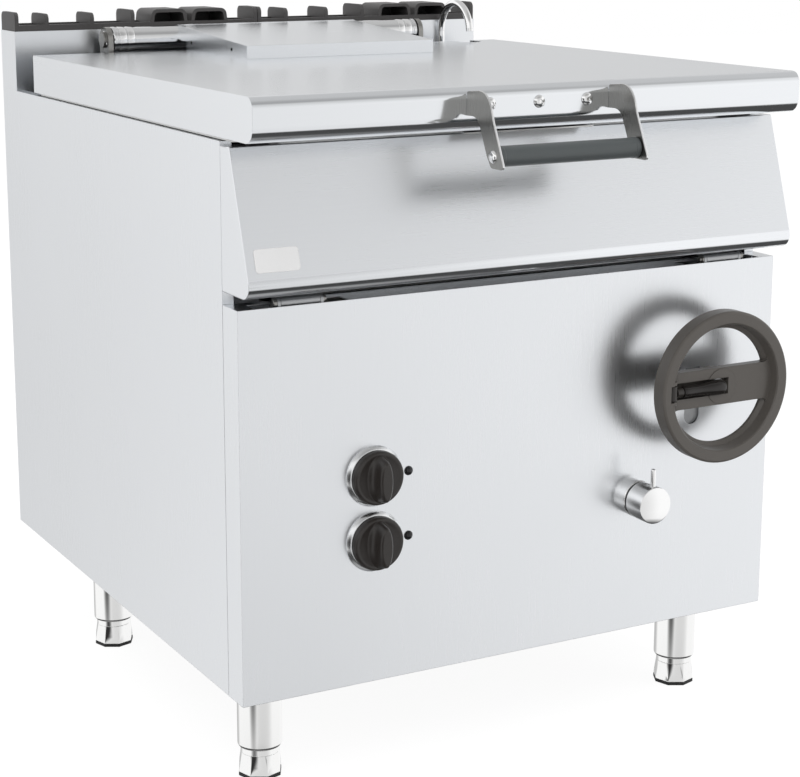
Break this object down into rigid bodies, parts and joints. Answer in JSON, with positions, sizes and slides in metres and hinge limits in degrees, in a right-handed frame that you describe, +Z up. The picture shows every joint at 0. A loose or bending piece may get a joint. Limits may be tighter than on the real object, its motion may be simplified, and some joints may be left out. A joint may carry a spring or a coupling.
{
  "type": "tilting bratt pan",
  "caption": "Floor-standing gas bratt pan: a stainless casing on legs, a deep tilting vessel with a hinged lid, a handwheel tilt drive, control knobs, a water tap and a rear flue.",
  "frame": {"origin": "on the floor, in the middle of the footprint from the front of the lid handle to the rear face", "axes": "+X to the right seen from the front, +Y from the front to the back, +Z up"},
  "size_m": [0.8, 0.983, 0.9542],
  "materials": {
    "satin_steel": "satin sheet",
    "polished_steel": "bright polished",
    "inner_steel": "plain mill finish",
    "chrome": "bright plated",
    "wheel_grey": "satin powder coat",
    "grid_iron": "matt enamel",
    "gear_steel": "machined, oiled",
    "box_iron": "painted casting",
    "knob_black": "satin moulded",
    "grip_slate": "fine textured",
    "brass": "plain",
    "copper": "drawn tube",
    "lamp_dark": "clear lacquered"
  },
  "bodies": {
    "casing": {"left_side_panel": "satin_steel", "right_side_panel": "satin_steel", "front_panel": "satin_steel", "rear_panel": "satin_steel", "rear_deck": "inner_steel", "base_frame": "inner_steel", "hinge_posts": "inner_steel", "tilt_pins": "chrome", "flue_column": "satin_steel", "flue_grid_left": "grid_iron", "flue_grid_right": "grid_iron", "flue_sleeve": "inner_steel", "combustion_chamber": "inner_steel", "burner_tubes": "inner_steel", "gas_manifold": "brass", "gas_valve": "brass", "thermostat": "brass", "gas_pipes": "copper", "knob_bezels": "polished_steel", "indicator_lamps": "lamp_dark", "tap_body": "chrome", "water_pipes": "copper", "water_spout": "chrome", "bearing_plate": "inner_steel", "tilt_gearbox": "box_iron", "gear_carrier": "inner_steel", "leg_tubes": "chrome"},
    "pan": {"pan_vessel": "polished_steel", "base_plate": "inner_steel", "pan_jacket": "inner_steel", "apron": "satin_steel", "apron_rails": "inner_steel", "name_plate": "satin_steel", "hinge_leaves": "inner_steel", "tilt_sector": "gear_steel", "hinge_beam": "inner_steel", "hinge_brackets": "polished_steel"},
    "lid": {"lid_shell": "satin_steel", "lid_liner": "polished_steel", "hinge_cover": "satin_steel", "hinge_tube": "polished_steel", "tube_caps": "polished_steel", "handle_arms": "polished_steel", "handle_grip": "grip_slate", "grip_screws": "chrome", "nose_studs": "chrome"},
    "handwheel": {"handwheel": "wheel_grey", "wheel_shaft": "gear_steel"},
    "crank": {"crank_holder": "knob_black"},
    "crank_sleeve": {"crank_grip": "knob_black"},
    "cross_drive": {"cross_shaft": "gear_steel", "drive_pinion": "gear_steel"},
    "idler": {"idler_gear": "gear_steel"},
    "thermostat_knob": {"thermostat_knob": "knob_black"},
    "gas_knob": {"gas_knob": "knob_black"},
    "tap_cap": {"tap_cap": "chrome"},
    "foot_front_left": {"foot_front_left": "chrome"},
    "foot_front_right": {"foot_front_right": "chrome"},
    "foot_rear_left": {"foot_rear_left": "chrome"},
    "foot_rear_right": {"foot_rear_right": "chrome"}
  },
  "joints": [
    {"name": "pan_tilt", "type": "hinge", "parent": "casing", "child": "pan", "pos_m": [0, -0.3585, 0.6385], "axis": [1, 0, 0], "range_deg": [0, 85]},
    {"name": "lid_hinge", "type": "hinge", "parent": "pan", "child": "lid", "pos_m": [0, 0.3915, 0.9052], "axis": [-1, 0, 0], "range_deg": [0, 90], "stiffness_Nm_per_rad": 25, "springref_deg": 89.95},
    {"name": "handwheel_turn", "type": "hinge", "parent": "casing", "child": "handwheel", "pos_m": [0.27, -0.4185, 0.481], "axis": [0, -1, 0], "range_deg": [0, 8743]},
    {"name": "crank_fold", "type": "hinge", "parent": "handwheel", "child": "crank", "pos_m": [0.188, -0.4315, 0.481], "axis": [0, 0, -1], "range_deg": [0, 90]},
    {"name": "crank_spin", "type": "hinge", "parent": "crank", "child": "crank_sleeve", "pos_m": [0.238, -0.4315, 0.481], "axis": [1, 0, 0], "continuous": true},
    {"name": "cross_shaft_turn", "type": "hinge", "parent": "casing", "child": "cross_drive", "pos_m": [0.371, -0.15462, 0.53362], "axis": [1, 0, 0], "range_deg": [0, 365]},
    {"name": "idler_turn", "type": "hinge", "parent": "casing", "child": "idler", "pos_m": [0.371, -0.15462, 0.64562], "axis": [1, 0, 0], "range_deg": [-122, 0]},
    {"name": "thermostat_turn", "type": "hinge", "parent": "casing", "child": "thermostat_knob", "pos_m": [-0.218, -0.3885, 0.41], "axis": [0, 1, 0], "range_deg": [0, 270]},
    {"name": "gas_knob_turn", "type": "hinge", "parent": "casing", "child": "gas_knob", "pos_m": [-0.218, -0.3885, 0.3255], "axis": [0, -1, 0], "range_deg": [0, 180]},
    {"name": "tap_turn", "type": "hinge", "parent": "casing", "child": "tap_cap", "pos_m": [0.178, -0.3985, 0.326], "axis": [0, -1, 0], "range_deg": [0, 90]},
    {"name": "foot_front_left_screw", "type": "slide", "parent": "casing", "child": "foot_front_left", "axis": [0, 0, -1], "range_m": [0, 0.035]},
    {"name": "foot_front_right_screw", "type": "slide", "parent": "casing", "child": "foot_front_right", "axis": [0, 0, -1], "range_m": [0, 0.035]},
    {"name": "foot_rear_left_screw", "type": "slide", "parent": "casing", "child": "foot_rear_left", "axis": [0, 0, -1], "range_m": [0, 0.035]},
    {"name": "foot_rear_right_screw", "type": "slide", "parent": "casing", "child": "foot_rear_right", "axis": [0, 0, -1], "range_m": [0, 0.035]}
  ],
  "couplings": [
    {"joint": "idler_turn", "follows": "pan_tilt", "ratio": -1.4286},
    {"joint": "cross_shaft_turn", "follows": "pan_tilt", "ratio": 4.2857},
    {"joint": "handwheel_turn", "follows": "pan_tilt", "ratio": 102.86}
  ]
}
